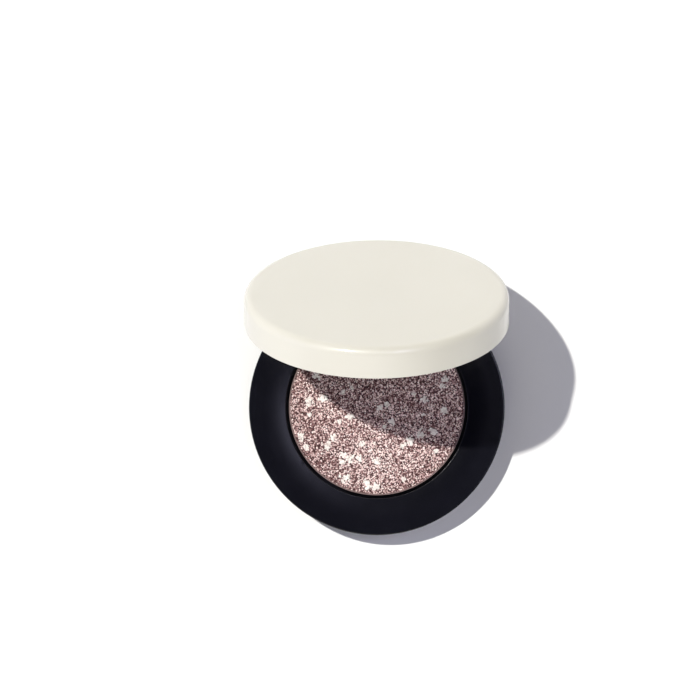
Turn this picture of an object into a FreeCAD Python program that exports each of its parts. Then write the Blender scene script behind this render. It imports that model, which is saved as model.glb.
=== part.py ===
import FreeCAD, Part
import math
import os
import Sketcher
from FreeCAD import Placement, Rotation, Vector

# A round single-pan eyeshadow compact, open, in millimetres.
# The origin is the centre of the foot ring, +Z is up and +Y points from the middle to the hinge.
# Base pieces are drawn where they stand. Lid pieces are drawn closed, then turned about the hinge pin.

driving_sizes = {
    # pan and powder
    "pan_radius": 13.0,
    "pan_height": 2.85,
    "pan_wall": 0.2,
    "pan_glue_thickness": 0.1,
    "pan_sink": 0.55,
    "powder_sink": 0.06,
    "powder_crown": 0.12,
    # base housing, from the pan outwards and from the table upwards
    "well_clearance": 0.45,
    "well_wall": 0.9,
    "well_floor": 0.6,
    "magnet_inner_gap": 0.65,
    "magnet_outer_gap": 0.1,
    "ledge_width": 0.5,
    "skirt_wall": 1.3,
    "deck_thickness": 1.2,
    "deck_roll_width": 3.2,
    "deck_roll_drop": 0.15,
    "deck_edge_round": 0.2,
    "opening_edge_round": 0.12,
    "foot_edge_round": 0.25,
    # bottom cover, weight and label
    "foot_recess": 0.15,
    "plate_thickness": 0.6,
    "plate_clearance": 0.08,
    "weight_gap": 0.1,
    "weight_thickness": 0.35,
    "weight_margin": 1.35,
    "label_thickness": 0.1,
    "label_margin": 5.0,
    # magnets
    "magnet_radius": 1.0,
    "magnet_height": 1.5,
    "magnet_clearance": 0.03,
    "magnet_skin": 0.7,
    "boss_wall": 0.7,
    "boss_lip": 0.2,
    # hinge
    "axis_inset": 0.8,
    "axis_drop": 2.35,
    "pin_radius": 0.6,
    "pin_clearance": 0.05,
    "pin_recess": 0.2,
    "knuckle_radius": 1.25,
    "knuckle_clearance": 0.25,
    "lug_width": 6.2,
    "lug_side_gap": 0.15,
    "ear_width": 3.15,
    "web_front": 0.9,
    "web_back": 0.5,
    "web_rise": 2.1,
    "slot_gap": 0.1,
    "block_wall": 1.2,
    # lid
    "parting_gap": 0.15,
    "lid_overhang": 0.3,
    "lid_wall": 1.0,
    "lid_top": 1.0,
    "lid_hollow": 1.4,
    "lid_crown": 0.15,
    "lid_flat": 9.0,
    "lid_edge_round": 1.15,
    "lid_rim_round": 0.15,
    "liner_clearance": 0.05,
    "liner_floor": 0.95,
    "liner_flange": 0.4,
    "liner_skirt": 0.95,
    "liner_edge_chamfer": 0.15,
    "mirror_clearance": 0.1,
    "mirror_thickness": 1.0,
    "mirror_recess": 0.3,
    "mirror_bevel": 0.25,
    "mirror_glue_thickness": 0.15,
    "mirror_glue_margin": 1.0,
    # how far the lid stands open, in degrees
    "open_angle": 64.6,
}


class Size:
    """A number together with the sheet expression that it comes from."""

    def __init__(self, number, text):
        self.number = number
        self.text = text

    def __add__(self, other):
        return Size(self.number + number_of(other), f"({self.text} + {text_of(other)})")

    def __sub__(self, other):
        return Size(self.number - number_of(other), f"({self.text} - {text_of(other)})")

    def __mul__(self, other):
        return Size(self.number * number_of(other), f"({self.text} * {text_of(other)})")

    def __truediv__(self, other):
        return Size(self.number / number_of(other), f"({self.text} / {text_of(other)})")

    def __neg__(self):
        return Size(-self.number, f"(0 - {self.text})")


def number_of(size):
    return size.number if isinstance(size, Size) else float(size)


def text_of(size):
    return size.text if isinstance(size, Size) else repr(float(size))


doc = FreeCAD.newDocument("eyeshadow_compact")
sheet = doc.addObject("Spreadsheet::Sheet", "Dims")
d = {}
for row, (alias, number) in enumerate(driving_sizes.items(), start=1):
    sheet.set(f"A{row}", alias.replace("_", " "))
    sheet.set(f"B{row}", str(number))
    sheet.setAlias(f"B{row}", alias)
    d[alias] = Size(number, f"Dims.{alias}")
doc.recompute()


# Sizes that follow from the driving ones: the ring from the pan outwards ...
well_radius = d["pan_radius"] + d["well_clearance"]
well_outer = well_radius + d["well_wall"]
magnet_reach = well_outer + d["magnet_inner_gap"] + d["magnet_radius"]
cavity_radius = magnet_reach + d["magnet_radius"] + d["magnet_outer_gap"]
skirt_radius = cavity_radius + d["ledge_width"]
base_radius = skirt_radius + d["skirt_wall"]

# ... and the base from the table upwards
plate_top = d["foot_recess"] + d["plate_thickness"]
weight_bottom = plate_top + d["weight_gap"]
floor_under = weight_bottom + d["weight_thickness"]
floor_top = floor_under + d["well_floor"]
pan_bottom = floor_top + d["pan_glue_thickness"]
pan_rim = pan_bottom + d["pan_height"]
deck_height = pan_rim + d["pan_sink"]
deck_under = deck_height - d["deck_thickness"]
magnet_ceiling = deck_height - d["magnet_skin"]
deck_lip = deck_height - d["deck_roll_drop"]
roll_start = well_radius + d["deck_roll_width"]

# the hinge pin's line, and the notch between the ears
axis_y = base_radius - d["axis_inset"]
axis_z = deck_height - d["axis_drop"]
notch_front = axis_y - d["knuckle_radius"] - d["knuckle_clearance"]
notch_floor = axis_z - d["knuckle_radius"] - d["knuckle_clearance"]
notch_width = d["lug_width"] + d["lug_side_gap"] * 2
hinge_width = notch_width + d["ear_width"] * 2

# the lid, drawn closed, from its rim upwards
rim_z = deck_height + d["parting_gap"]
lid_radius = base_radius + d["lid_overhang"]
shell_inner = lid_radius - d["lid_wall"]
liner_radius = shell_inner - d["liner_clearance"]
pocket_radius = magnet_reach - d["magnet_radius"] - d["magnet_clearance"] - d["liner_flange"]
mirror_radius = pocket_radius - d["mirror_clearance"]
mirror_face = rim_z + d["mirror_recess"]
mirror_back = mirror_face + d["mirror_thickness"]
pocket_floor = mirror_back + d["mirror_glue_thickness"]
liner_top = pocket_floor + d["liner_floor"]
ceiling_z = liner_top + d["lid_hollow"]
lid_top_z = ceiling_z + d["lid_top"]
web_top = rim_z + d["web_rise"]

lid_turn = Placement(
    Vector(0, 0, 0),
    Rotation(Vector(-1, 0, 0), number_of(d["open_angle"])),
    Vector(0, number_of(axis_y), number_of(axis_z)),
)


def arc_radius(width, drop):
    """Radius of an arc that starts level and falls by drop over width."""
    return (width * width + drop * drop) / (drop * 2)


def new_body(label, placement=Placement()):
    body = doc.addObject("PartDesign::Body", label)
    body.Label = label
    body.Placement = placement
    return body


def new_sketch(body, name, plane_role, lift=None):
    """A sketch on one of the body's own origin planes, moved along the plane's normal by lift."""
    sketch = body.newObject("Sketcher::SketchObject", name)
    plane = next(f for f in body.Origin.OriginFeatures if f.Role == plane_role)
    sketch.AttachmentSupport = [(plane, "")]
    sketch.MapMode = "FlatFace"
    if lift is not None:
        sketch.AttachmentOffset = Placement(Vector(0, 0, number_of(lift)), Rotation())
        sketch.setExpression("AttachmentOffset.Base.z", text_of(lift))
    return sketch


def pin_point(sketch, geometry, point, corner):
    """Fix one point of a sketch at its distances from the sketch's origin."""
    for kind, line, size in (("DistanceX", -2, corner[0]), ("DistanceY", -1, corner[1])):
        if isinstance(size, Size):
            place = Sketcher.Constraint(kind, -1, 1, geometry, point, size.number)
            index = sketch.addConstraint(place)
            sketch.setExpression(f"Constraints[{index}]", size.text)
        elif size == 0:
            sketch.addConstraint(Sketcher.Constraint("PointOnObject", geometry, point, line))
        else:
            sketch.addConstraint(Sketcher.Constraint(kind, -1, 1, geometry, point, size))


def crown_arc(start, end, radius, hand):
    """An arc from start to end. Its belly is left of the way there for hand 1, right for hand -1."""
    middle = (start + end) / 2
    along = (end - start).normalize()
    left = Vector(-along.y, along.x, 0)
    half = start.distanceToPoint(end) / 2
    centre = middle - left * hand * math.sqrt(radius**2 - half**2)
    first, last = (end, start) if hand == 1 else (start, end)
    angles = [math.atan2(p.y - centre.y, p.x - centre.x) for p in (first, last)]
    circle = Part.Circle(centre, Vector(0, 0, 1), radius)
    return Part.ArcOfCircle(circle, angles[0], angles[1])


def draw_outline(sketch, corners, arcs=None):
    """A closed outline through the corners. arcs gives the radius and hand of sides that are arcs."""
    arcs = arcs or {}
    points = [Vector(number_of(x), number_of(y), 0) for x, y in corners]
    ends = []
    for side, start in enumerate(points):
        end = points[(side + 1) % len(points)]
        if side in arcs:
            radius, hand = arcs[side]
            geometry = sketch.addGeometry(crown_arc(start, end, radius.number, hand))
            ends.append((geometry, 2, 1) if hand == 1 else (geometry, 1, 2))
            index = sketch.addConstraint(Sketcher.Constraint("Radius", geometry, radius.number))
            sketch.setExpression(f"Constraints[{index}]", radius.text)
        else:
            geometry = sketch.addGeometry(Part.LineSegment(start, end))
            ends.append((geometry, 1, 2))
    for side, (geometry, start_point, end_point) in enumerate(ends):
        following = ends[(side + 1) % len(ends)]
        meet = Sketcher.Constraint("Coincident", geometry, end_point, following[0], following[1])
        sketch.addConstraint(meet)
        pin_point(sketch, geometry, start_point, corners[side])


def draw_circle(sketch, centre, radius):
    middle = Vector(number_of(centre[0]), number_of(centre[1]), 0)
    geometry = sketch.addGeometry(Part.Circle(middle, Vector(0, 0, 1), radius.number))
    pin_point(sketch, geometry, 3, centre)
    index = sketch.addConstraint(Sketcher.Constraint("Radius", geometry, radius.number))
    sketch.setExpression(f"Constraints[{index}]", radius.text)


def turn(body, name, corners, arcs=None):
    """Revolve an outline of (radius, height) corners about the body's Z axis."""
    sketch = new_sketch(body, name + "_outline", "XZ_Plane")
    draw_outline(sketch, corners, arcs)
    feature = body.newObject("PartDesign::Revolution", name)
    feature.Profile = sketch
    feature.ReferenceAxis = (sketch, ["V_Axis"])
    feature.Angle = 360
    doc.recompute()
    return feature


def extrude(body, kind, name, sketch, length, symmetric=False, reverse=False):
    """Pad or pocket a sketch, and check that it really added or removed material."""
    before = body.Shape.Volume if body.Tip else 0.0
    feature = body.newObject("PartDesign::" + kind, name)
    feature.Profile = sketch
    feature.SideType = "Symmetric" if symmetric else "One side"
    feature.Reversed = reverse
    feature.Length = number_of(length)
    feature.setExpression("Length", text_of(length))
    doc.recompute()
    change = body.Shape.Volume - before
    if (change <= 0) == (kind == "Pad"):
        raise RuntimeError(f"{body.Label} {name} changed the volume by {change:.4f} mm3")
    return feature


def side_rectangle(low_y, high_y, low_z, high_z):
    """Corners of a rectangle in the YZ plane."""
    return [(low_y, low_z), (high_y, low_z), (high_y, high_z), (low_y, high_z)]


def ring_edges(feature, radius, height):
    """Names of the round edges about the Z axis at this radius and height."""
    names = []
    for number, edge in enumerate(feature.Shape.Edges, start=1):
        if edge.Degenerated or not isinstance(edge.Curve, Part.Circle):
            continue
        centre = edge.Curve.Center
        on_axis = math.hypot(centre.x, centre.y) < 1e-4
        same_radius = abs(edge.Curve.Radius - number_of(radius)) < 1e-4
        if on_axis and same_radius and abs(centre.z - number_of(height)) < 1e-4:
            names.append(f"Edge{number}")
    if not names:
        raise RuntimeError(f"{feature.Name} has no round edge at {number_of(radius):.3f} mm")
    return names


def soften(body, kind, name, edges, size):
    """Fillet or chamfer edges of the body's last feature."""
    last = body.Tip
    feature = body.newObject("PartDesign::" + kind, name)
    feature.Base = (last, edges)
    setting = "Radius" if kind == "Fillet" else "Size"
    setattr(feature, setting, number_of(size))
    feature.setExpression(setting, text_of(size))
    body.Tip = feature
    doc.recompute()
    return feature


def disc(label, radius, bottom, top, placement=Placement()):
    """A plain round plate."""
    body = new_body(label, placement)
    turn(body, "disc", [(0, bottom), (radius, bottom), (radius, top), (0, top)])
    return body


def magnet(label, bottom, placement):
    """A disc magnet standing off the compact's centre, towards the front."""
    body = new_body(label, placement)
    sketch = new_sketch(body, "face", "XY_Plane", bottom)
    draw_circle(sketch, (0, -magnet_reach), d["magnet_radius"])
    extrude(body, "Pad", "disc", sketch, d["magnet_height"])
    return body


def base_housing():
    """The dark ring: deck, outer skirt and pan well in one moulding, with the hinge ears."""
    body = new_body("base_housing")
    corners = [
        (0, floor_under),
        (well_outer, floor_under),
        (well_outer, deck_under),
        (cavity_radius, deck_under),
        (cavity_radius, plate_top),
        (skirt_radius, plate_top),
        (skirt_radius, 0),
        (base_radius, 0),
        (base_radius, deck_height),
        (roll_start, deck_height),
        (well_radius, deck_lip),
        (well_radius, floor_top),
        (0, floor_top),
    ]
    roll = {9: (arc_radius(d["deck_roll_width"], d["deck_roll_drop"]), -1)}
    turn(body, "shell", corners, roll)
    rounded_edges = {
        "deck_edge": (base_radius, deck_height),
        "opening_edge": (well_radius, deck_lip),
        "foot_edge": (base_radius, 0),
    }
    for name, (radius, height) in rounded_edges.items():
        soften(body, "Fillet", name, ring_edges(body.Tip, radius, height), d[name + "_round"])

    boss_bottom = magnet_ceiling - d["magnet_height"] - d["boss_lip"]
    sketch = new_sketch(body, "boss_face", "XY_Plane", boss_bottom)
    draw_circle(sketch, (0, -magnet_reach), d["magnet_radius"] + d["boss_wall"])
    extrude(body, "Pad", "magnet_boss", sketch, magnet_ceiling - boss_bottom)
    sketch = new_sketch(body, "boss_hole_face", "XY_Plane", boss_bottom)
    draw_circle(sketch, (0, -magnet_reach), d["magnet_radius"] + d["magnet_clearance"])
    depth = d["magnet_height"] + d["boss_lip"]
    extrude(body, "Pocket", "boss_hole", sketch, depth, reverse=True)

    block_front = notch_front - d["block_wall"]
    block_bottom = plate_top + d["weight_gap"]
    sketch = new_sketch(body, "block_side", "YZ_Plane")
    draw_outline(sketch, side_rectangle(block_front, cavity_radius, block_bottom, deck_under))
    extrude(body, "Pad", "hinge_block", sketch, hinge_width, symmetric=True)
    sketch = new_sketch(body, "ear_side", "YZ_Plane")
    ear_low = axis_z - d["knuckle_radius"]
    ear_high = axis_z + d["knuckle_radius"]
    draw_outline(sketch, side_rectangle(block_front, axis_y, ear_low, ear_high))
    extrude(body, "Pad", "ear_roots", sketch, hinge_width, symmetric=True)
    sketch = new_sketch(body, "knuckle_side", "YZ_Plane")
    draw_circle(sketch, (axis_y, axis_z), d["knuckle_radius"])
    extrude(body, "Pad", "knuckles", sketch, hinge_width, symmetric=True)
    sketch = new_sketch(body, "notch_side", "YZ_Plane")
    beyond = base_radius + d["knuckle_radius"]
    above = deck_height + d["deck_thickness"]
    draw_outline(sketch, side_rectangle(notch_front, beyond, notch_floor, above))
    extrude(body, "Pocket", "lug_notch", sketch, notch_width, symmetric=True)
    sketch = new_sketch(body, "bore_side", "YZ_Plane")
    draw_circle(sketch, (axis_y, axis_z), d["pin_radius"])
    extrude(body, "Pocket", "pin_bore", sketch, hinge_width, symmetric=True)
    return body


def base_plate():
    """The bottom cover, seated on the skirt's ledge inside the foot ring."""
    radius = skirt_radius - d["plate_clearance"]
    return disc("base_plate", radius, d["foot_recess"], plate_top)


def base_label():
    """A blank paper disc in the middle of the bottom cover."""
    radius = skirt_radius - d["label_margin"]
    return disc("base_label", radius, d["foot_recess"] - d["label_thickness"], d["foot_recess"])


def weight_disc():
    """The steel disc under the pan well."""
    return disc("weight_disc", well_outer - d["weight_margin"], weight_bottom, floor_under)


def pan_adhesive():
    return disc("pan_adhesive", d["pan_radius"] - d["pan_wall"] * 2, floor_top, pan_bottom)


def pan():
    """The pressed aluminium godet that holds the powder."""
    body = new_body("pan")
    inner = d["pan_radius"] - d["pan_wall"]
    inner_floor = pan_bottom + d["pan_wall"]
    corners = [
        (0, pan_bottom),
        (d["pan_radius"], pan_bottom),
        (d["pan_radius"], pan_rim),
        (inner, pan_rim),
        (inner, inner_floor),
        (0, inner_floor),
    ]
    turn(body, "cup", corners)
    return body


def powder_cake():
    """The pressed powder, a little lower than the pan's rim and slightly domed."""
    body = new_body("powder_cake")
    radius = d["pan_radius"] - d["pan_wall"]
    low = pan_bottom + d["pan_wall"]
    edge = pan_rim - d["powder_sink"]
    corners = [(0, low), (radius, low), (radius, edge), (0, edge + d["powder_crown"])]
    turn(body, "cake", corners, {2: (arc_radius(radius, d["powder_crown"]), -1)})
    return body


def hinge_pin():
    """The steel pin: tight in the ears, free in the lid's lug."""
    body = new_body("hinge_pin")
    sketch = new_sketch(body, "pin_side", "YZ_Plane")
    draw_circle(sketch, (axis_y, axis_z), d["pin_radius"])
    extrude(body, "Pad", "pin", sketch, hinge_width - d["pin_recess"] * 2, symmetric=True)
    return body


def lid_shell():
    """The pale outer lid: a shallow cup with a soft top edge and a slot for the hinge lug."""
    body = new_body("lid_shell", lid_turn)
    edge_z = lid_top_z - d["lid_crown"]
    corners = [
        (0, ceiling_z),
        (shell_inner, ceiling_z),
        (shell_inner, rim_z),
        (lid_radius, rim_z),
        (lid_radius, edge_z),
        (d["lid_flat"], lid_top_z),
        (0, lid_top_z),
    ]
    crown = arc_radius(lid_radius - d["lid_flat"], d["lid_crown"])
    turn(body, "cup", corners, {4: (crown, -1)})
    soften(body, "Fillet", "top_edge", ring_edges(body.Tip, lid_radius, edge_z), d["lid_edge_round"])
    soften(body, "Fillet", "rim_edge", ring_edges(body.Tip, lid_radius, rim_z), d["lid_rim_round"])
    sketch = new_sketch(body, "slot_side", "YZ_Plane")
    slot_low = rim_z - d["lid_wall"]
    slot_front = shell_inner - d["lid_wall"]
    slot_back = lid_radius + d["lid_wall"]
    draw_outline(sketch, side_rectangle(slot_front, slot_back, slot_low, web_top + d["slot_gap"]))
    extrude(body, "Pocket", "lug_slot", sketch, d["lug_width"] + d["slot_gap"] * 2, symmetric=True)
    return body


def lid_liner():
    """The lid's inner frame: it holds the mirror and the magnet, and carries the hinge lug."""
    body = new_body("lid_liner", lid_turn)
    skirt_inner = liner_radius - d["liner_skirt"]
    skirt_top = ceiling_z - d["liner_clearance"]
    corners = [
        (0, pocket_floor),
        (pocket_radius, pocket_floor),
        (pocket_radius, rim_z),
        (liner_radius, rim_z),
        (liner_radius, skirt_top),
        (skirt_inner, skirt_top),
        (skirt_inner, liner_top),
        (0, liner_top),
    ]
    turn(body, "frame", corners)
    pocket_mouth = ring_edges(body.Tip, pocket_radius, rim_z)
    soften(body, "Chamfer", "pocket_edge", pocket_mouth, d["liner_edge_chamfer"])
    sketch = new_sketch(body, "magnet_face", "XY_Plane", rim_z + d["magnet_skin"])
    draw_circle(sketch, (0, -magnet_reach), d["magnet_radius"] + d["magnet_clearance"])
    extrude(body, "Pocket", "magnet_hole", sketch, d["lid_hollow"] + d["magnet_height"], reverse=True)
    sketch = new_sketch(body, "web_side", "YZ_Plane")
    low_y = axis_y - d["web_front"]
    high_y = axis_y + d["web_back"]
    draw_outline(sketch, side_rectangle(low_y, high_y, axis_z, web_top))
    extrude(body, "Pad", "lug_web", sketch, d["lug_width"], symmetric=True)
    sketch = new_sketch(body, "lug_side", "YZ_Plane")
    draw_circle(sketch, (axis_y, axis_z), d["knuckle_radius"])
    extrude(body, "Pad", "lug_knuckle", sketch, d["lug_width"], symmetric=True)
    sketch = new_sketch(body, "lug_bore_side", "YZ_Plane")
    draw_circle(sketch, (axis_y, axis_z), d["pin_radius"] + d["pin_clearance"])
    extrude(body, "Pocket", "lug_bore", sketch, d["lug_width"], symmetric=True)
    return body


def mirror():
    """The glass mirror, its face edge bevelled, recessed a little behind the lid's rim."""
    body = disc("mirror", mirror_radius, mirror_face, mirror_back, lid_turn)
    soften(body, "Chamfer", "face_bevel", ring_edges(body.Tip, mirror_radius, mirror_face), d["mirror_bevel"])
    return body


def mirror_adhesive():
    radius = mirror_radius - d["mirror_glue_margin"]
    return disc("mirror_adhesive", radius, mirror_back, pocket_floor, lid_turn)


pieces = [
    base_housing(),
    base_plate(),
    base_label(),
    weight_disc(),
    magnet("base_magnet", magnet_ceiling - d["magnet_height"], Placement()),
    pan_adhesive(),
    pan(),
    powder_cake(),
    hinge_pin(),
    lid_shell(),
    lid_liner(),
    magnet("lid_magnet", rim_z + d["magnet_skin"], lid_turn),
    mirror(),
    mirror_adhesive(),
]

doc.recompute()
for item in doc.Objects:
    if "Invalid" in item.State or "Error" in item.State:
        raise RuntimeError(f"{item.Name} is {item.State}")
for piece in pieces:
    if piece.Shape.isNull() or not piece.Shape.isValid() or len(piece.Shape.Solids) != 1:
        raise RuntimeError(f"{piece.Label} is not one valid solid")

os.makedirs("parts", exist_ok=True)
for piece in pieces:
    piece.Shape.exportStep(f"parts/{piece.Label}.step")
    print(f"{piece.Label}: {piece.Shape.Volume:.2f} mm3")
print(f"base {2 * number_of(base_radius):.2f} mm across, deck at {number_of(deck_height):.2f} mm")
print(f"lid {2 * number_of(lid_radius):.2f} mm across")
print(f"hinge line at y {number_of(axis_y):.3f}, z {number_of(axis_z):.3f} mm")
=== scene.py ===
import math
from itertools import combinations
import bpy
import numpy as np
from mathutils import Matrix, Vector


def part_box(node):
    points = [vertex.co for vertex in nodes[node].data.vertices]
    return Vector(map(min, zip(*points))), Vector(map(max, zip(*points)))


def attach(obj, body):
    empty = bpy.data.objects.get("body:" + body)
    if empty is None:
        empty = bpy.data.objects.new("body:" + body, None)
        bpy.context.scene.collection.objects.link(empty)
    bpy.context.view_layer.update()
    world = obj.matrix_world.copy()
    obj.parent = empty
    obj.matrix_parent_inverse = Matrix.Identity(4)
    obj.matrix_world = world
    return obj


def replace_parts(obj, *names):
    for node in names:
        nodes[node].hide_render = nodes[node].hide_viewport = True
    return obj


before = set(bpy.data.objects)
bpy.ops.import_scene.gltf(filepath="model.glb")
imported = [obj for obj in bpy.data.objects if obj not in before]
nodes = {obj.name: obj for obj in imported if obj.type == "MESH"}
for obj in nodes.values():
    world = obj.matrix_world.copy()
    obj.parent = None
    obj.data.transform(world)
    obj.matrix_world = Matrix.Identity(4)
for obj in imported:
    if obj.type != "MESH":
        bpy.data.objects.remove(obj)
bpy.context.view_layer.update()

mm = 0.001
print("frame loaded:", len(nodes), "CAD nodes")


# Sizes read from the frame

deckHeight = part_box("base_housing")[1].z
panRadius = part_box("pan")[1].x
cakeLow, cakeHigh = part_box("powder_cake")
powderRadius = cakeHigh.x
powderTop = cakeHigh.z
powderFoot = cakeLow.z


# Camera: straight above, a long lens, a hair of roll

camera = {
    "height": 812 * mm,  # above the deck
    "x": -3.90 * mm,
    "y": 8.5 * mm,
    "widthAtDeck": 103.4 * mm,
    "sensor": 36.0,  # millimetres, as Blender gives it
    "rollDegrees": -0.44,
}

cameraData = bpy.data.cameras.new("overheadCamera")
cameraData.sensor_width = camera["sensor"]
cameraData.lens = camera["sensor"] * camera["height"] / camera["widthAtDeck"]
cameraObject = bpy.data.objects.new("overheadCamera", cameraData)
cameraObject.location = (camera["x"], camera["y"], deckHeight + camera["height"])
cameraObject.rotation_euler = (0, 0, math.radians(camera["rollDegrees"]))
bpy.context.scene.collection.objects.link(cameraObject)
bpy.context.scene.camera = cameraObject
print("camera set")


# Light: one small hard key from the back left

keyLight = {
    "towards": (0.3673, -0.2863, -0.8850),
    "strength": 3.53,
    "sunDegrees": 1.3,
    "colour": (1.0, 0.986, 0.925),
}

sunData = bpy.data.lights.new("keyLight", "SUN")
sunData.energy = keyLight["strength"]
sunData.angle = math.radians(keyLight["sunDegrees"])
sunData.color = keyLight["colour"]
sunObject = bpy.data.objects.new("keyLight", sunData)
sunObject.rotation_mode = "QUATERNION"
sunObject.rotation_quaternion = Vector(keyLight["towards"]).to_track_quat("-Z", "Y")
bpy.context.scene.collection.objects.link(sunObject)


# Room: a pale horizon, dark overhead, with soft fills given as (direction, colour, tightness)
# A fill adds its colour times the cosine to its direction, raised to the tightness

room = {
    "byHeight": [
        (0.0, (0.72, 0.72, 0.72)),
        (0.10, (0.62, 0.62, 0.62)),
        (0.22, (0.05, 0.05, 0.03)),
        (0.70, (0.05, 0.05, 0.03)),
        (0.85, (0.004, 0.004, 0.005)),
        (1.0, (0.003, 0.003, 0.004)),
    ],
    "fills": [
        ((0.0, -0.97, 0.24), (2.0, 1.97, 1.98), 6.0),
        ((-0.96, 0.0, 0.28), (0.46, 0.49, 0.84), 6.0),
        ((0.330, 0.088, 0.940), (7.1, 7.0, 9.2), 90.0),
    ],
}

def setStops(ramp, stops):
    # Each stop is a place from 0 to 1 and a colour
    while len(ramp.elements) < len(stops):
        ramp.elements.new(0.5)  # anywhere, as the loop below moves it
    for element, (place, colour) in zip(ramp.elements, stops):
        element.position = place
        element.color = (*colour, 1)


def makeRoom():
    world = bpy.data.worlds.new("room")
    bpy.context.scene.world = world
    world.use_nodes = True
    new, join = world.node_tree.nodes.new, world.node_tree.links.new

    def maths(kind, operation, *inputs):
        step = new(kind)
        step.operation = operation
        for socket, value in zip(step.inputs, inputs):
            if isinstance(value, bpy.types.NodeSocket):
                join(value, socket)
            else:
                socket.default_value = value
        return step

    direction = new("ShaderNodeTexCoord").outputs["Generated"]
    split = new("ShaderNodeSeparateXYZ")
    join(direction, split.inputs[0])
    byHeight = new("ShaderNodeValToRGB")
    join(split.outputs["Z"], byHeight.inputs["Fac"])
    setStops(byHeight.color_ramp, room["byHeight"])
    total = byHeight.outputs["Color"]
    for towards, colour, tightness in room["fills"]:
        cosine = maths("ShaderNodeVectorMath", "DOT_PRODUCT", direction, Vector(towards).normalized())
        facing = maths("ShaderNodeMath", "MAXIMUM", cosine.outputs["Value"], 0.0)
        lobe = maths("ShaderNodeMath", "POWER", facing.outputs[0], tightness)
        fill = maths("ShaderNodeVectorMath", "SCALE", colour)
        join(lobe.outputs[0], fill.inputs["Scale"])
        total = maths("ShaderNodeVectorMath", "ADD", total, fill.outputs["Vector"]).outputs["Vector"]
    join(total, world.node_tree.nodes["Background"].inputs["Color"])


makeRoom()
bpy.context.scene.view_settings.view_transform = "Standard"
print("light set")


# Small helpers for node materials

noiseSpan = (0.3, 0.7)  # nearly all of a noise pattern lies between these
cloudSpan = (0.35, 0.65)  # where clouds turn from the deep shade to the light one

def newMaterial(name, colour, roughness, metallic=0.0):
    material = bpy.data.materials.new(name)
    material.use_nodes = True
    shader = material.node_tree.nodes["Principled BSDF"]
    shader.inputs["Base Color"].default_value = (*colour, 1)
    shader.inputs["Roughness"].default_value = roughness
    shader.inputs["Metallic"].default_value = metallic
    return material, shader


def addNode(material, kind, **settings):
    node = material.node_tree.nodes.new(kind)
    for key, value in settings.items():
        if key in node.inputs:
            node.inputs[key].default_value = value
        else:
            setattr(node, key, value)
    return node


def link(material, source, target):
    material.node_tree.links.new(source, target)


def objectPlace(material):
    return addNode(material, "ShaderNodeTexCoord").outputs["Object"]


def noise(material, blotch, detail=2.0, roughness=0.5, place=None):
    # blotch is the width of one blotch, in metres
    texture = addNode(material, "ShaderNodeTexNoise", Scale=1 / blotch, Detail=detail, Roughness=roughness)
    link(material, place or objectPlace(material), texture.inputs["Vector"])
    return texture.outputs["Fac"]


def between(material, pattern, low, high):
    # Carries a noise pattern on to a range of numbers
    node = addNode(material, "ShaderNodeMapRange")
    for key, value in zip(("From Min", "From Max", "To Min", "To Max"), (*noiseSpan, low, high)):
        node.inputs[key].default_value = value
    link(material, pattern, node.inputs["Value"])
    return node.outputs["Result"]


def varyRoughness(material, shader, pattern, span):
    link(material, between(material, pattern, *span), shader.inputs["Roughness"])


def varyColour(material, shader, pattern, stops):
    node = addNode(material, "ShaderNodeValToRGB")
    setStops(node.color_ramp, stops)
    link(material, pattern, node.inputs["Fac"])
    link(material, node.outputs["Color"], shader.inputs["Base Color"])


def cloudColour(material, shader, look, detail=3):
    clouds = noise(material, look["cloud"], detail)
    varyColour(material, shader, clouds, list(zip(cloudSpan, (look["deep"], look["light"]))))


def bump(material, shader, pattern, depth):
    # depth is how far the pattern stands up, in metres
    node = addNode(material, "ShaderNodeBump", Distance=depth)
    link(material, pattern, node.inputs["Height"])
    link(material, node.outputs["Normal"], shader.inputs["Normal"])


def paint(material, *nodeNames):
    for nodeName in nodeNames:
        mesh = nodes[nodeName].data
        mesh.materials.clear()
        mesh.materials.append(material)


# Lid shell: cream lacquer, glossy, with a faint orange peel and the softest of clouds

creamLacquer = {
    "light": (0.645, 0.624, 0.546),
    "deep": (0.630, 0.609, 0.531),
    "cloud": 14 * mm,
    "roughness": (0.40, 0.46),
    "smudge": 3.5 * mm,
    "peel": 1.2 * mm,
    "peelDepth": 0.0005 * mm,
    "coat": 0.8,
    "coatRoughness": 0.13,
}

def makeCreamLacquer():
    look = creamLacquer
    material, shader = newMaterial("creamLacquer", look["light"], look["roughness"][0])
    cloudColour(material, shader, look)
    varyRoughness(material, shader, noise(material, look["smudge"], detail=4), look["roughness"])
    bump(material, shader, noise(material, look["peel"]), look["peelDepth"])
    shader.inputs["Coat Weight"].default_value = look["coat"]
    shader.inputs["Coat Roughness"].default_value = look["coatRoughness"]
    return material


paint(makeCreamLacquer(), "lid_shell")


# Lid liner: nearly the same cream, moulded with a fine grain and a little rougher

creamPlastic = {
    "light": (0.63, 0.606, 0.538),
    "deep": (0.605, 0.58, 0.512),
    "cloud": 8 * mm,
    "roughness": (0.40, 0.52),
    "grain": 0.12 * mm,
    "grainDepth": 0.003 * mm,
}

def makeCreamPlastic():
    look = creamPlastic
    material, shader = newMaterial("creamPlastic", look["light"], look["roughness"][0])
    cloudColour(material, shader, look)
    grain = noise(material, look["grain"], detail=3)
    varyRoughness(material, shader, grain, look["roughness"])
    bump(material, shader, grain, look["grainDepth"])
    return material


paint(makeCreamPlastic(), "lid_liner")


# Base ring and bottom cover: glossy navy plastic with a very fine moulded grain

navyPlastic = {
    "light": (0.0030, 0.0031, 0.0058),
    "deep": (0.0024, 0.0025, 0.0048),
    "cloud": 5 * mm,
    "roughness": (0.15, 0.17),
    "specular": 0.38,
    "smudge": 1.6 * mm,
    "grain": 0.09 * mm,
    "grainDepth": 0.0005 * mm,
}

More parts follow.
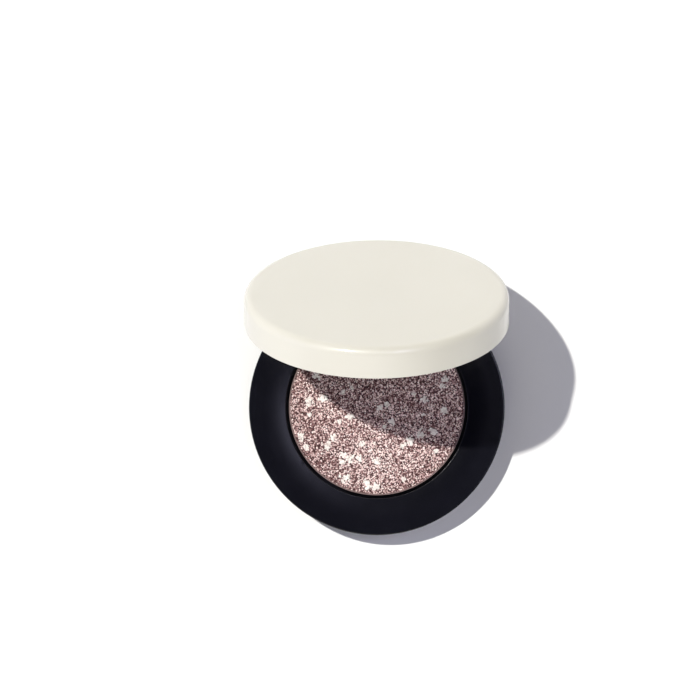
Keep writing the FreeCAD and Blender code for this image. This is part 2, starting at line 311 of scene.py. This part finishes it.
def makeNavyPlastic():
    look = navyPlastic
    material, shader = newMaterial("navyPlastic", look["light"], look["roughness"][0])
    cloudColour(material, shader, look, detail=4)
    varyRoughness(material, shader, noise(material, look["smudge"], detail=4), look["roughness"])
    bump(material, shader, noise(material, look["grain"], detail=3), look["grainDepth"])
    shader.inputs["Specular IOR Level"].default_value = look["specular"]
    return material


paint(makeNavyPlastic(), "base_housing", "base_plate")


# Mirror: silvered glass with the faintest haze

mirrorGlass = {"colour": (0.86, 0.88, 0.88), "roughness": (0.012, 0.05), "haze": 7 * mm}

def makeMirrorGlass():
    look = mirrorGlass
    material, shader = newMaterial("silveredGlass", look["colour"], look["roughness"][0], 1.0)
    varyRoughness(material, shader, noise(material, look["haze"], detail=5), look["roughness"])
    return material


paint(makeMirrorGlass(), "mirror")


# Metals: stretch scales the pattern along X, Y and Z, so that a small number draws it out into lines

metals = {
    "drawnSteel": {
        "nodes": ["hinge_pin"],
        "colour": (0.56, 0.56, 0.57),
        "roughness": (0.25, 0.42),
        "stretch": (0.06, 1, 1),
        "grain": 0.08 * mm,
        "depth": 0.002 * mm,
    },
    "zincPlate": {
        "nodes": ["weight_disc"],
        "colour": (0.50, 0.51, 0.53),
        "roughness": (0.35, 0.50),
        "stretch": (1, 1, 1),
        "grain": 0.6 * mm,
        "depth": 0.002 * mm,
    },
    "nickelPlate": {
        "nodes": ["base_magnet", "lid_magnet"],
        "colour": (0.62, 0.60, 0.56),
        "roughness": (0.16, 0.28),
        "stretch": (1, 1, 1),
        "grain": 0.3 * mm,
        "depth": 0.001 * mm,
    },
    "dustyAluminium": {
        "nodes": ["pan"],
        "colour": (0.16, 0.115, 0.11),
        "roughness": (0.42, 0.66),
        "stretch": (1, 1, 0.2),
        "grain": 0.15 * mm,
        "depth": 0.006 * mm,
    },
}

def makeMetal(name, look):
    material, shader = newMaterial(name, look["colour"], look["roughness"][0], 1.0)
    mapping = addNode(material, "ShaderNodeMapping")
    mapping.inputs["Scale"].default_value = look["stretch"]
    link(material, objectPlace(material), mapping.inputs["Vector"])
    lines = noise(material, look["grain"], 4, 0.6, mapping.outputs["Vector"])
    varyRoughness(material, shader, lines, look["roughness"])
    bump(material, shader, lines, look["depth"])
    return material


for name, look in metals.items():
    paint(makeMetal(name, look), *look["nodes"])


# Paper label and glue films

labelPaper = {
    "dark": (0.66, 0.65, 0.61),
    "pale": (0.76, 0.75, 0.71),
    "fibre": 0.25 * mm,
    "depth": 0.01 * mm,
    "roughness": 0.85,
}

glueFilm = {
    "colour": (0.70, 0.68, 0.58),
    "roughness": (0.25, 0.55),
    "ripple": 0.8 * mm,
    "depth": 0.01 * mm,
}

def makePaper():
    look = labelPaper
    material, shader = newMaterial("labelPaper", look["pale"], look["roughness"])
    fibres = noise(material, look["fibre"], 6, 0.7)
    varyColour(material, shader, fibres, list(zip(noiseSpan, (look["dark"], look["pale"]))))
    bump(material, shader, fibres, look["depth"])
    return material


def makeGlue():
    look = glueFilm
    material, shader = newMaterial("glueFilm", look["colour"], look["roughness"][0])
    ripples = noise(material, look["ripple"], detail=3)
    varyRoughness(material, shader, ripples, look["roughness"])
    bump(material, shader, ripples, look["depth"])
    return material


paint(makePaper(), "base_label")
paint(makeGlue(), "pan_adhesive", "mirror_adhesive")
print("CAD nodes painted")


# Powder finishes: the tone picks the colour, a fine blotch breaks it up and smoother specks glint

powderFinish = {
    "blotch": 0.16 * mm,
    "blotchTone": 0.2,
    "glint": 0.09 * mm,
    "grain": 0.06 * mm,
    "grainDepth": 0.01 * mm,
    "specular": 0.25,
}

powders = {
    "shimmerPowder": {
        "stops": [
            (0.0, (0.030, 0.009, 0.010)),
            (0.25, (0.19, 0.085, 0.083)),
            (0.5, (0.50, 0.330, 0.315)),
            (0.75, (0.76, 0.575, 0.545)),
            (1.0, (0.92, 0.78, 0.74)),
        ],
        "roughness": (0.35, 0.65),
    },
    "pearlPowder": {
        "stops": [
            (0.0, (0.44, 0.34, 0.31)),
            (0.4, (0.64, 0.57, 0.53)),
            (1.0, (0.86, 0.82, 0.77)),
        ],
        "roughness": (0.4, 0.7),
    },
}

def makePowder(name):
    stops, roughness = powders[name]["stops"], powders[name]["roughness"]
    finish = powderFinish
    material, shader = newMaterial(name, stops[1][1], roughness[0])
    tone = addNode(material, "ShaderNodeAttribute", attribute_name="tone").outputs["Fac"]
    blotch = noise(material, finish["blotch"], detail=3)
    mixed = addNode(material, "ShaderNodeMath", operation="ADD")
    link(material, tone, mixed.inputs[0])
    link(material, between(material, blotch, -finish["blotchTone"], finish["blotchTone"]), mixed.inputs[1])
    varyColour(material, shader, mixed.outputs[0], stops)
    varyRoughness(material, shader, noise(material, finish["glint"]), roughness)
    bump(material, shader, noise(material, finish["grain"], detail=3), finish["grainDepth"])
    shader.inputs["Specular IOR Level"].default_value = finish["specular"]
    return material


shimmerPowder = makePowder("shimmerPowder")
pearlPowder = makePowder("pearlPowder")


# Mesh makers

def addPiece(name, points, faces, material, smooth, tone, body="base"):
    # tone is one number per point, which the powder materials turn into a colour
    mesh = bpy.data.meshes.new(name)
    mesh.from_pydata(points.tolist(), [], faces)
    mesh.materials.append(material)
    mesh.polygons.foreach_set("use_smooth", np.full(len(mesh.polygons), smooth))
    attribute = mesh.attributes.new("tone", "FLOAT", "POINT")
    attribute.data.foreach_set("value", tone.astype(np.float32))
    piece = bpy.data.objects.new(name, mesh)
    bpy.context.scene.collection.objects.link(piece)
    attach(piece, body)
    print(name, "made:", len(mesh.polygons), "faces")
    return piece


def waves(x, y, length, rng, count=24, spread=(0.7, 1.5)):
    # Sum of cos(k . place + phase) over plane waves in random directions, scaled to about -1 to 1
    # Each wave's length is the given one times a number from the spread
    angle = rng.uniform(0, 2 * np.pi, count)
    size = 2 * np.pi / (length * rng.uniform(*spread, count))
    phase = rng.uniform(0, 2 * np.pi, count)
    total = np.zeros_like(x)
    for a, k, p in zip(angle, size, phase):
        total += np.cos(k * (np.cos(a) * x + np.sin(a) * y) + p)
    return total / np.sqrt(count)


# Powder bed: a disc laid out as a square grid bent round, crumbled on top, coloured near black as painted
# shade in the gaps between the grains

powderBed = {
    "seed": 11,
    "steps": 190,
    "sink": 0.08 * mm,
    "dome": 0.08 * mm,
    "crumble": [(0.021 * mm, 0.7 * mm), (0.014 * mm, 2.1 * mm)],  # depth and length, fine then broad
    "edgeDrop": 0.05 * mm,
    "edgeWidth": 0.5 * mm,
    # A dark tone, so that the bed shows between the grains as painted shade rather than the powder's own
    # colour
    "tone": 0.06,
}

def bedHeight(x, y):
    # Cake top less the sink and a dome of (r / radius) squared, with two lengths of crumble,
    # less the edge drop times the square of the way out across the edge's width
    rng = np.random.default_rng(powderBed["seed"])
    r = np.hypot(x, y)
    height = powderTop - powderBed["sink"] - powderBed["dome"] * (r / powderRadius) ** 2
    for depth, length in powderBed["crumble"]:
        height += depth * waves(x, y, length, rng)
    outward = np.clip(1 - (powderRadius - r) / powderBed["edgeWidth"], 0, 1)
    return height - powderBed["edgeDrop"] * outward**2


def makePowderBed():
    # Square to disc: u, v from -1 to 1 go to x = u sqrt(1 - v v / 2), y = v sqrt(1 - u u / 2),
    # times the radius
    steps = powderBed["steps"]
    u, v = np.meshgrid(np.linspace(-1, 1, steps), np.linspace(-1, 1, steps))
    x = u * np.sqrt(1 - v * v / 2) * powderRadius
    y = v * np.sqrt(1 - u * u / 2) * powderRadius
    top = np.stack([x, y, bedHeight(x, y)], -1).reshape(-1, 3)
    index = np.arange(len(top)).reshape(steps, steps)
    quads = np.stack([index[:-1, :-1], index[:-1, 1:], index[1:, 1:], index[1:, :-1]], -1).reshape(-1, 4)
    border = np.concatenate([index[0, :-1], index[:-1, -1], index[-1, :0:-1], index[:0:-1, 0]])
    low = top[border].copy()
    low[:, 2] = powderFoot
    below = len(top) + np.arange(len(border))
    wall = np.stack([border, below, np.roll(below, -1), np.roll(border, -1)], -1)
    middle = np.full(len(border), len(top) + len(border))
    under = np.stack([below, middle, np.roll(below, -1)], -1)
    points = np.concatenate([top, low, [[0, 0, powderFoot]]])
    faces = quads.tolist() + wall.tolist() + under.tolist()
    # Every point of the bed takes the dark tone: painted shade for the gaps between the grains
    tone = np.full(len(points), powderBed["tone"])
    return addPiece("powder_bed_painted_gap_shade", points, faces, shimmerPowder, True, tone)


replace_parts(makePowderBed(), "powder_cake")


# Lumps: icosahedra with their corners pushed about, squashed and turned

def icosahedron():
    # The corners are (0, +-1, +-golden) and its two cyclic shifts, and three near corners make a face
    golden = (1 + math.sqrt(5)) / 2
    corners = [(0, s, t * golden) for s in (-1, 1) for t in (-1, 1)]
    corners = np.array([c[-k:] + c[:-k] for k in range(3) for c in corners], float)
    near = np.linalg.norm(corners[:, None] - corners[None], axis=2) < 2.1  # edges are 2, other gaps over 3
    faces = []
    for a, b, c in combinations(range(len(corners)), 3):
        if near[a, b] and near[b, c] and near[a, c]:
            outward = np.dot(np.cross(corners[b] - corners[a], corners[c] - corners[a]), corners[a]) > 0
            faces.append((a, b, c) if outward else (a, c, b))
    return corners / np.linalg.norm(corners[0]), np.array(faces)


def randomTurns(count, rng):
    # Rotation matrices from unit quaternions drawn evenly over all turns
    q = rng.normal(size=(count, 4))
    w, x, y, z = (q / np.linalg.norm(q, axis=1, keepdims=True)).T
    first = [1 - 2 * (y * y + z * z), 2 * (x * y - z * w), 2 * (x * z + y * w)]
    second = [2 * (x * y + z * w), 1 - 2 * (x * x + z * z), 2 * (y * z - x * w)]
    third = [2 * (x * z - y * w), 2 * (y * z + x * w), 1 - 2 * (x * x + y * y)]
    return np.stack(first + second + third, -1).reshape(count, 3, 3)


def makeLumps(name, material, shape, rng, x, y, size, tone):
    # Each lump is the icosahedron turned, times its size and a random push per corner,
    # then flattened and set on the bed
    count = len(x)
    corners, faces = icosahedron()
    lift = rng.uniform(*shape["lift"], count)
    push = 1 + rng.uniform(-shape["roughen"], shape["roughen"], (count, len(corners), 1))
    turned = np.einsum("nij,vj->nvi", randomTurns(count, rng), corners)
    lumps = turned * push * size[:, None, None]
    lumps[:, :, 2] *= shape["flatten"]
    lumps += np.stack([x, y, bedHeight(x, y) + lift], -1)[:, None, :]
    firstCorner = (np.arange(count) * len(corners))[:, None, None]
    allFaces = (faces[None] + firstCorner).reshape(-1, 3).tolist()
    tones = np.repeat(tone, len(corners))
    return addPiece(name, lumps.reshape(-1, 3), allFaces, material, False, tones)


# Grains: the broken surface of the powder, one lump for each place on a jittered triangular grid

grains = {
    "seed": 23,
    "pitch": 0.25 * mm,
    "jitter": 0.40,  # share of the pitch
    "size": (0.08 * mm, 0.17 * mm),
    "flatten": 0.75,
    "roughen": 0.25,
    "lift": (-0.05 * mm, 0.07 * mm),
    "tone": (0.575, 0.29),  # middle and spread
    "overRim": 0.13 * mm,
    "rimGap": 0.01 * mm,
    "driftTone": 0.07,
    "driftLength": 2.4 * mm,
    # Paler or darker patches: x, y, reach and change of tone
    "patches": [
        (0.2 * mm, -7.8 * mm, 3.8 * mm, 0.27),
        (-3.5 * mm, -2.5 * mm, 2.2 * mm, 0.05),
        (-9.8 * mm, -3.0 * mm, 2.2 * mm, -0.10),
        (-7.6 * mm, -6.4 * mm, 1.8 * mm, -0.08),
    ],
}

def makeGrains():
    # Rows are root 3 / 2 of a pitch apart, and every other row is half a pitch across
    rng = np.random.default_rng(grains["seed"])
    pitch, jitter = grains["pitch"], grains["jitter"]
    far = int(powderRadius / pitch) + 2  # past the rim on every side
    i, j = np.meshgrid(np.arange(-far, far + 1), np.arange(-2 * far, 2 * far + 1))
    x = (i + 0.5 * (j % 2) + rng.uniform(-jitter, jitter, i.shape)) * pitch
    y = (j * math.sqrt(3) / 2 + rng.uniform(-jitter, jitter, i.shape)) * pitch
    keep = np.hypot(x, y) < powderRadius + grains["overRim"]
    x, y = x[keep], y[keep]
    size = rng.uniform(*grains["size"], len(x))
    size = np.minimum(size, panRadius - grains["rimGap"] - np.hypot(x, y))
    drift = grains["driftTone"] * waves(x, y, grains["driftLength"], rng)
    for middleX, middleY, reach, change in grains["patches"]:
        # The change times exp of minus the square of distance over reach
        drift += change * np.exp(-((x - middleX) ** 2 + (y - middleY) ** 2) / reach**2)
    tone = np.clip(rng.normal(*grains["tone"], len(x)) + drift, 0, 1)
    return makeLumps("powder_grains", shimmerPowder, grains, rng, x, y, size, tone)


makeGrains()


# Flakes: pale crumbs of the marbling, each a loose clump of lumps, some placed and some scattered

flakes = {
    "seed": 5,
    # Middles of the placed ones, in millimetres
    "places": [
        (-10.0, 1.1), (-8.0, 1.4), (-11.3, -4.3), (-10.4, -5.9), (-6.5, -4.4), (-7.3, -5.5),
        (-5.2, -8.1), (-4.2, -7.7), (-2.7, -7.6), (-4.6, -10.5), (-0.1, -8.0), (-1.6, -11.5),
        (-0.2, -11.6), (-2.3, -5.5), (4.9, -5.1), (-4.0, -1.4), (6.5, -3.9), (8.3, -3.7),
        (2.2, -2.1), (9.9, -0.6), (7.0, 1.0), (-8.9, 4.7),
    ],
    "placedScale": (0.7, 1.05),
    "scattered": 22,
    "scatteredScale": (0.3, 0.65),
    "scatteredArea": 0.9,  # share of the powder's area, from the middle out
    "lumps": 24,
    "spread": 0.28 * mm,
    "size": (0.12 * mm, 0.25 * mm),
    "flatten": 0.5,
    "roughen": 0.3,
    "lift": (0.05 * mm, 0.14 * mm),
    "tone": (0.72, 0.26),  # middle and spread
}

def makeFlakes():
    # Scattered middles lie evenly over the area: a random turn, and out by the root of a random share
    # A flake's lumps fall off round its middle as a bell curve, and their size goes as the root of its scale
    rng = np.random.default_rng(flakes["seed"])
    lumps, places, scattered = flakes["lumps"], flakes["places"], flakes["scattered"]
    turn = rng.uniform(0, 2 * np.pi, scattered)
    out = np.sqrt(rng.uniform(0, flakes["scatteredArea"], scattered)) * powderRadius
    scatteredMiddles = np.stack([out * np.cos(turn), out * np.sin(turn)], -1)
    middles = np.concatenate([np.array(places) * mm, scatteredMiddles])
    placedScale = rng.uniform(*flakes["placedScale"], len(places))
    scatteredScale = rng.uniform(*flakes["scatteredScale"], scattered)
    scale = np.concatenate([placedScale, scatteredScale])[:, None]
    offset = rng.normal(0, flakes["spread"], (len(middles), lumps, 2)) * scale[:, :, None]
    x, y = (middles[:, None] + offset).reshape(-1, 2).T
    size = (rng.uniform(*flakes["size"], (len(middles), lumps)) * np.sqrt(scale)).ravel()
    keep = np.hypot(x, y) + size < powderRadius
    x, y, size = x[keep], y[keep], size[keep]
    tone = np.clip(rng.normal(*flakes["tone"], len(x)), 0, 1)
    return makeLumps("powder_flakes", pearlPowder, flakes, rng, x, y, size, tone)


makeFlakes()


# Floor

floor = {"half": 3.0, "colour": (0.82, 0.82, 0.82), "roughness": 0.9, "specular": 0.1}

def makeFloor():
    h = floor["half"]
    mesh = bpy.data.meshes.new("floor")
    mesh.from_pydata([(-h, -h, 0), (h, -h, 0), (h, h, 0), (-h, h, 0)], [], [(0, 1, 2, 3)])
    material, shader = newMaterial("paleFloor", floor["colour"], floor["roughness"])
    shader.inputs["Specular IOR Level"].default_value = floor["specular"]
    mesh.materials.append(material)
    piece = bpy.data.objects.new("floor", mesh)
    bpy.context.scene.collection.objects.link(piece)


makeFloor()
print("floor made")
